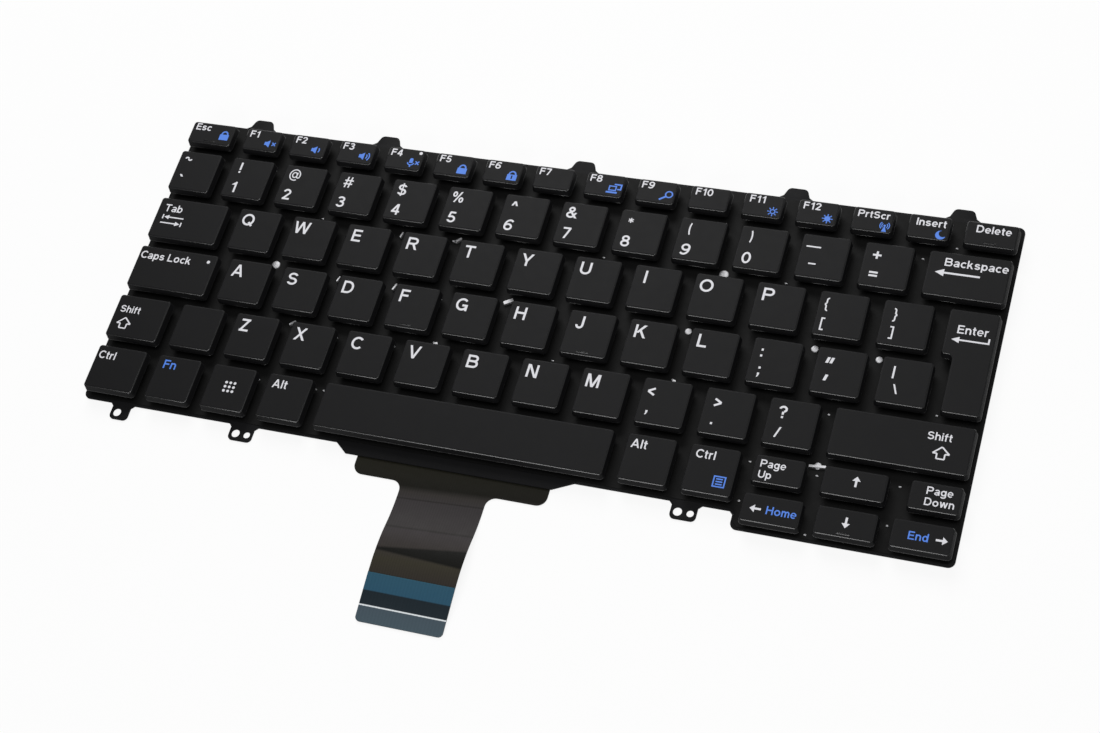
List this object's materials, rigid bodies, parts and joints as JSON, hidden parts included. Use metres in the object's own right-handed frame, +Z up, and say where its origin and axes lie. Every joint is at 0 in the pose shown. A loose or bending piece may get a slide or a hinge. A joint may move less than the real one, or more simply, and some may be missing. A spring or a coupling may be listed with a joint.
{
  "type": "laptop replacement keyboard",
  "caption": "Low-profile laptop keyboard module with black island keys on a steel plate, screw tabs along the front edge, locating tabs along the rear edge and a flat ribbon cable.",
  "frame": {"origin": "middle of the support plate's underside, the apron and tabs left out", "axes": "+X along the key rows to the right, +Y away from the typist, +Z up through the keycaps"},
  "size_m": [0.2662, 0.1593, 0.0057],
  "materials": {
    "plate_paint": "satin black",
    "membrane_film": "matt black film",
    "dome_rubber": "matt",
    "scissor_plastic": "satin",
    "keycap_plastic": "fine satin",
    "wire_steel": "drawn wire",
    "lamp_resin": "clear resin",
    "ribbon_film": "glossy film",
    "stiffener_film": "satin film"
  },
  "bodies": {
    "base": {"support_plate": "plate_paint", "membrane_sheet": "membrane_film", "rubber_domes": "dome_rubber", "scissor_frames": "scissor_plastic", "indicator_leds": "lamp_resin", "fixed_row_keys": "keycap_plastic", "ribbon_cable": "ribbon_film", "cable_stiffener": "stiffener_film"},
    "cap_backspace": {"key_backspace": "keycap_plastic"},
    "cap_tab": {"key_tab": "keycap_plastic"},
    "cap_q": {"key_q": "keycap_plastic"},
    "cap_w": {"key_w": "keycap_plastic"},
    "cap_e": {"key_e": "keycap_plastic"},
    "cap_r": {"key_r": "keycap_plastic"},
    "cap_t": {"key_t": "keycap_plastic"},
    "cap_y": {"key_y": "keycap_plastic"},
    "cap_u": {"key_u": "keycap_plastic"},
    "cap_i": {"key_i": "keycap_plastic"},
    "cap_o": {"key_o": "keycap_plastic"},
    "cap_p": {"key_p": "keycap_plastic"},
    "cap_bracket_left": {"key_bracket_left": "keycap_plastic"},
    "cap_bracket_right": {"key_bracket_right": "keycap_plastic"},
    "cap_caps_lock": {"key_caps_lock": "keycap_plastic"},
    "cap_a": {"key_a": "keycap_plastic"},
    "cap_s": {"key_s": "keycap_plastic"},
    "cap_d": {"key_d": "keycap_plastic"},
    "cap_f": {"key_f": "keycap_plastic"},
    "cap_g": {"key_g": "keycap_plastic"},
    "cap_h": {"key_h": "keycap_plastic"},
    "cap_j": {"key_j": "keycap_plastic"},
    "cap_k": {"key_k": "keycap_plastic"},
    "cap_l": {"key_l": "keycap_plastic"},
    "cap_semicolon": {"key_semicolon": "keycap_plastic"},
    "cap_quote": {"key_quote": "keycap_plastic"},
    "cap_backslash": {"key_backslash": "keycap_plastic"},
    "cap_shift_left": {"key_shift_left": "keycap_plastic"},
    "cap_blank": {"key_blank": "keycap_plastic"},
    "cap_z": {"key_z": "keycap_plastic"},
    "cap_x": {"key_x": "keycap_plastic"},
    "cap_c": {"key_c": "keycap_plastic"},
    "cap_v": {"key_v": "keycap_plastic"},
    "cap_b": {"key_b": "keycap_plastic"},
    "cap_n": {"key_n": "keycap_plastic"},
    "cap_m": {"key_m": "keycap_plastic"},
    "cap_comma": {"key_comma": "keycap_plastic"},
    "cap_period": {"key_period": "keycap_plastic"},
    "cap_slash": {"key_slash": "keycap_plastic"},
    "cap_shift_right": {"key_shift_right": "keycap_plastic"},
    "cap_ctrl_left": {"key_ctrl_left": "keycap_plastic"},
    "cap_fn": {"key_fn": "keycap_plastic"},
    "cap_super": {"key_super": "keycap_plastic"},
    "cap_alt_left": {"key_alt_left": "keycap_plastic"},
    "cap_space": {"key_space": "keycap_plastic"},
    "cap_alt_right": {"key_alt_right": "keycap_plastic"},
    "cap_ctrl_right": {"key_ctrl_right": "keycap_plastic"},
    "cap_enter": {"key_enter": "keycap_plastic"},
    "space_stabiliser": {"space_wire": "wire_steel"},
    "shift_right_stabiliser": {"shift_right_wire": "wire_steel"},
    "backspace_stabiliser": {"backspace_wire": "wire_steel"},
    "enter_stabiliser": {"enter_wire": "wire_steel"}
  },
  "joints": [
    {"name": "press_backspace", "type": "slide", "parent": "base", "child": "cap_backspace", "axis": [0, 0, -1], "range_m": [0, 0.0018], "stiffness_N_per_m": 300, "deforming": ["rubber_domes", "scissor_frames"]},
    {"name": "press_tab", "type": "slide", "parent": "base", "child": "cap_tab", "axis": [0, 0, -1], "range_m": [0, 0.0018], "stiffness_N_per_m": 300, "deforming": ["rubber_domes", "scissor_frames"]},
    {"name": "press_q", "type": "slide", "parent": "base", "child": "cap_q", "axis": [0, 0, -1], "range_m": [0, 0.0018], "stiffness_N_per_m": 300, "deforming": ["rubber_domes", "scissor_frames"]},
    {"name": "press_w", "type": "slide", "parent": "base", "child": "cap_w", "axis": [0, 0, -1], "range_m": [0, 0.0018], "stiffness_N_per_m": 300, "deforming": ["rubber_domes", "scissor_frames"]},
    {"name": "press_e", "type": "slide", "parent": "base", "child": "cap_e", "axis": [0, 0, -1], "range_m": [0, 0.0018], "stiffness_N_per_m": 300, "deforming": ["rubber_domes", "scissor_frames"]},
    {"name": "press_r", "type": "slide", "parent": "base", "child": "cap_r", "axis": [0, 0, -1], "range_m": [0, 0.0018], "stiffness_N_per_m": 300, "deforming": ["rubber_domes", "scissor_frames"]},
    {"name": "press_t", "type": "slide", "parent": "base", "child": "cap_t", "axis": [0, 0, -1], "range_m": [0, 0.0018], "stiffness_N_per_m": 300, "deforming": ["rubber_domes", "scissor_frames"]},
    {"name": "press_y", "type": "slide", "parent": "base", "child": "cap_y", "axis": [0, 0, -1], "range_m": [0, 0.0018], "stiffness_N_per_m": 300, "deforming": ["rubber_domes", "scissor_frames"]},
    {"name": "press_u", "type": "slide", "parent": "base", "child": "cap_u", "axis": [0, 0, -1], "range_m": [0, 0.0018], "stiffness_N_per_m": 300, "deforming": ["rubber_domes", "scissor_frames"]},
    {"name": "press_i", "type": "slide", "parent": "base", "child": "cap_i", "axis": [0, 0, -1], "range_m": [0, 0.0018], "stiffness_N_per_m": 300, "deforming": ["rubber_domes", "scissor_frames"]},
    {"name": "press_o", "type": "slide", "parent": "base", "child": "cap_o", "axis": [0, 0, -1], "range_m": [0, 0.0018], "stiffness_N_per_m": 300, "deforming": ["rubber_domes", "scissor_frames"]},
    {"name": "press_p", "type": "slide", "parent": "base", "child": "cap_p", "axis": [0, 0, -1], "range_m": [0, 0.0018], "stiffness_N_per_m": 300, "deforming": ["rubber_domes", "scissor_frames"]},
    {"name": "press_bracket_left", "type": "slide", "parent": "base", "child": "cap_bracket_left", "axis": [0, 0, -1], "range_m": [0, 0.0018], "stiffness_N_per_m": 300, "deforming": ["rubber_domes", "scissor_frames"]},
    {"name": "press_bracket_right", "type": "slide", "parent": "base", "child": "cap_bracket_right", "axis": [0, 0, -1], "range_m": [0, 0.0018], "stiffness_N_per_m": 300, "deforming": ["rubber_domes", "scissor_frames"]},
    {"name": "press_caps_lock", "type": "slide", "parent": "base", "child": "cap_caps_lock", "axis": [0, 0, -1], "range_m": [0, 0.0018], "stiffness_N_per_m": 300, "deforming": ["rubber_domes", "scissor_frames"]},
    {"name": "press_a", "type": "slide", "parent": "base", "child": "cap_a", "axis": [0, 0, -1], "range_m": [0, 0.0018], "stiffness_N_per_m": 300, "deforming": ["rubber_domes", "scissor_frames"]},
    {"name": "press_s", "type": "slide", "parent": "base", "child": "cap_s", "axis": [0, 0, -1], "range_m": [0, 0.0018], "stiffness_N_per_m": 300, "deforming": ["rubber_domes", "scissor_frames"]},
    {"name": "press_d", "type": "slide", "parent": "base", "child": "cap_d", "axis": [0, 0, -1], "range_m": [0, 0.0018], "stiffness_N_per_m": 300, "deforming": ["rubber_domes", "scissor_frames"]},
    {"name": "press_f", "type": "slide", "parent": "base", "child": "cap_f", "axis": [0, 0, -1], "range_m": [0, 0.0018], "stiffness_N_per_m": 300, "deforming": ["rubber_domes", "scissor_frames"]},
    {"name": "press_g", "type": "slide", "parent": "base", "child": "cap_g", "axis": [0, 0, -1], "range_m": [0, 0.0018], "stiffness_N_per_m": 300, "deforming": ["rubber_domes", "scissor_frames"]},
    {"name": "press_h", "type": "slide", "parent": "base", "child": "cap_h", "axis": [0, 0, -1], "range_m": [0, 0.0018], "stiffness_N_per_m": 300, "deforming": ["rubber_domes", "scissor_frames"]},
    {"name": "press_j", "type": "slide", "parent": "base", "child": "cap_j", "axis": [0, 0, -1], "range_m": [0, 0.0018], "stiffness_N_per_m": 300, "deforming": ["rubber_domes", "scissor_frames"]},
    {"name": "press_k", "type": "slide", "parent": "base", "child": "cap_k", "axis": [0, 0, -1], "range_m": [0, 0.0018], "stiffness_N_per_m": 300, "deforming": ["rubber_domes", "scissor_frames"]},
    {"name": "press_l", "type": "slide", "parent": "base", "child": "cap_l", "axis": [0, 0, -1], "range_m": [0, 0.0018], "stiffness_N_per_m": 300, "deforming": ["rubber_domes", "scissor_frames"]},
    {"name": "press_semicolon", "type": "slide", "parent": "base", "child": "cap_semicolon", "axis": [0, 0, -1], "range_m": [0, 0.0018], "stiffness_N_per_m": 300, "deforming": ["rubber_domes", "scissor_frames"]},
    {"name": "press_quote", "type": "slide", "parent": "base", "child": "cap_quote", "axis": [0, 0, -1], "range_m": [0, 0.0018], "stiffness_N_per_m": 300, "deforming": ["rubber_domes", "scissor_frames"]},
    {"name": "press_backslash", "type": "slide", "parent": "base", "child": "cap_backslash", "axis": [0, 0, -1], "range_m": [0, 0.0018], "stiffness_N_per_m": 300, "deforming": ["rubber_domes", "scissor_frames"]},
    {"name": "press_shift_left", "type": "slide", "parent": "base", "child": "cap_shift_left", "axis": [0, 0, -1], "range_m": [0, 0.0018], "stiffness_N_per_m": 300, "deforming": ["rubber_domes", "scissor_frames"]},
    {"name": "press_blank", "type": "slide", "parent": "base", "child": "cap_blank", "axis": [0, 0, -1], "range_m": [0, 0.0018], "stiffness_N_per_m": 300, "deforming": ["rubber_domes", "scissor_frames"]},
    {"name": "press_z", "type": "slide", "parent": "base", "child": "cap_z", "axis": [0, 0, -1], "range_m": [0, 0.0018], "stiffness_N_per_m": 300, "deforming": ["rubber_domes", "scissor_frames"]},
    {"name": "press_x", "type": "slide", "parent": "base", "child": "cap_x", "axis": [0, 0, -1], "range_m": [0, 0.0018], "stiffness_N_per_m": 300, "deforming": ["rubber_domes", "scissor_frames"]},
    {"name": "press_c", "type": "slide", "parent": "base", "child": "cap_c", "axis": [0, 0, -1], "range_m": [0, 0.0018], "stiffness_N_per_m": 300, "deforming": ["rubber_domes", "scissor_frames"]},
    {"name": "press_v", "type": "slide", "parent": "base", "child": "cap_v", "axis": [0, 0, -1], "range_m": [0, 0.0018], "stiffness_N_per_m": 300, "deforming": ["rubber_domes", "scissor_frames"]},
    {"name": "press_b", "type": "slide", "parent": "base", "child": "cap_b", "axis": [0, 0, -1], "range_m": [0, 0.0018], "stiffness_N_per_m": 300, "deforming": ["rubber_domes", "scissor_frames"]},
    {"name": "press_n", "type": "slide", "parent": "base", "child": "cap_n", "axis": [0, 0, -1], "range_m": [0, 0.0018], "stiffness_N_per_m": 300, "deforming": ["rubber_domes", "scissor_frames"]},
    {"name": "press_m", "type": "slide", "parent": "base", "child": "cap_m", "axis": [0, 0, -1], "range_m": [0, 0.0018], "stiffness_N_per_m": 300, "deforming": ["rubber_domes", "scissor_frames"]},
    {"name": "press_comma", "type": "slide", "parent": "base", "child": "cap_comma", "axis": [0, 0, -1], "range_m": [0, 0.0018], "stiffness_N_per_m": 300, "deforming": ["rubber_domes", "scissor_frames"]},
    {"name": "press_period", "type": "slide", "parent": "base", "child": "cap_period", "axis": [0, 0, -1], "range_m": [0, 0.0018], "stiffness_N_per_m": 300, "deforming": ["rubber_domes", "scissor_frames"]},
    {"name": "press_slash", "type": "slide", "parent": "base", "child": "cap_slash", "axis": [0, 0, -1], "range_m": [0, 0.0018], "stiffness_N_per_m": 300, "deforming": ["rubber_domes", "scissor_frames"]},
    {"name": "press_shift_right", "type": "slide", "parent": "base", "child": "cap_shift_right", "axis": [0, 0, -1], "range_m": [0, 0.0018], "stiffness_N_per_m": 300, "deforming": ["rubber_domes", "scissor_frames"]},
    {"name": "press_ctrl_left", "type": "slide", "parent": "base", "child": "cap_ctrl_left", "axis": [0, 0, -1], "range_m": [0, 0.0018], "stiffness_N_per_m": 300, "deforming": ["rubber_domes", "scissor_frames"]},
    {"name": "press_fn", "type": "slide", "parent": "base", "child": "cap_fn", "axis": [0, 0, -1], "range_m": [0, 0.0018], "stiffness_N_per_m": 300, "deforming": ["rubber_domes", "scissor_frames"]},
    {"name": "press_super", "type": "slide", "parent": "base", "child": "cap_super", "axis": [0, 0, -1], "range_m": [0, 0.0018], "stiffness_N_per_m": 300, "deforming": ["rubber_domes", "scissor_frames"]},
    {"name": "press_alt_left", "type": "slide", "parent": "base", "child": "cap_alt_left", "axis": [0, 0, -1], "range_m": [0, 0.0018], "stiffness_N_per_m": 300, "deforming": ["rubber_domes", "scissor_frames"]},
    {"name": "press_space", "type": "slide", "parent": "base", "child": "cap_space", "axis": [0, 0, -1], "range_m": [0, 0.0018], "stiffness_N_per_m": 300, "deforming": ["rubber_domes", "scissor_frames"]},
    {"name": "press_alt_right", "type": "slide", "parent": "base", "child": "cap_alt_right", "axis": [0, 0, -1], "range_m": [0, 0.0018], "stiffness_N_per_m": 300, "deforming": ["rubber_domes", "scissor_frames"]},
    {"name": "press_ctrl_right", "type": "slide", "parent": "base", "child": "cap_ctrl_right", "axis": [0, 0, -1], "range_m": [0, 0.0018], "stiffness_N_per_m": 300, "deforming": ["rubber_domes", "scissor_frames"]},
    {"name": "press_enter", "type": "slide", "parent": "base", "child": "cap_enter", "axis": [0, 0, -1], "range_m": [0, 0.0018], "stiffness_N_per_m": 300, "deforming": ["rubber_domes", "scissor_frames"]},
    {"name": "swing_space_wire", "type": "hinge", "parent": "base", "child": "space_stabiliser", "pos_m": [-0.01119, -0.0425, 0.00125], "axis": [1, 0, 0], "range_deg": [0, 17.67]},
    {"name": "swing_shift_right_wire", "type": "hinge", "parent": "base", "child": "shift_right_stabiliser", "pos_m": [0.11257, -0.02435, 0.00125], "axis": [1, 0, 0], "range_deg": [0, 17.67]},
    {"name": "swing_backspace_wire", "type": "hinge", "parent": "base", "child": "backspace_stabiliser", "pos_m": [0.12025, 0.0301, 0.00125], "axis": [1, 0, 0], "range_deg": [0, 17.67]},
    {"name": "swing_enter_wire", "type": "hinge", "parent": "base", "child": "enter_stabiliser", "pos_m": [0.12448, 0.00272, 0.00125], "axis": [0, 1, 0], "range_deg": [0, 17.67]}
  ],
  "couplings": [
    {"joint": "swing_space_wire", "follows": "press_space", "rad_per_m": 171.19},
    {"joint": "swing_shift_right_wire", "follows": "press_shift_right", "rad_per_m": 171.19},
    {"joint": "swing_backspace_wire", "follows": "press_backspace", "rad_per_m": 171.19},
    {"joint": "swing_enter_wire", "follows": "press_enter", "rad_per_m": 171.19}
  ]
}
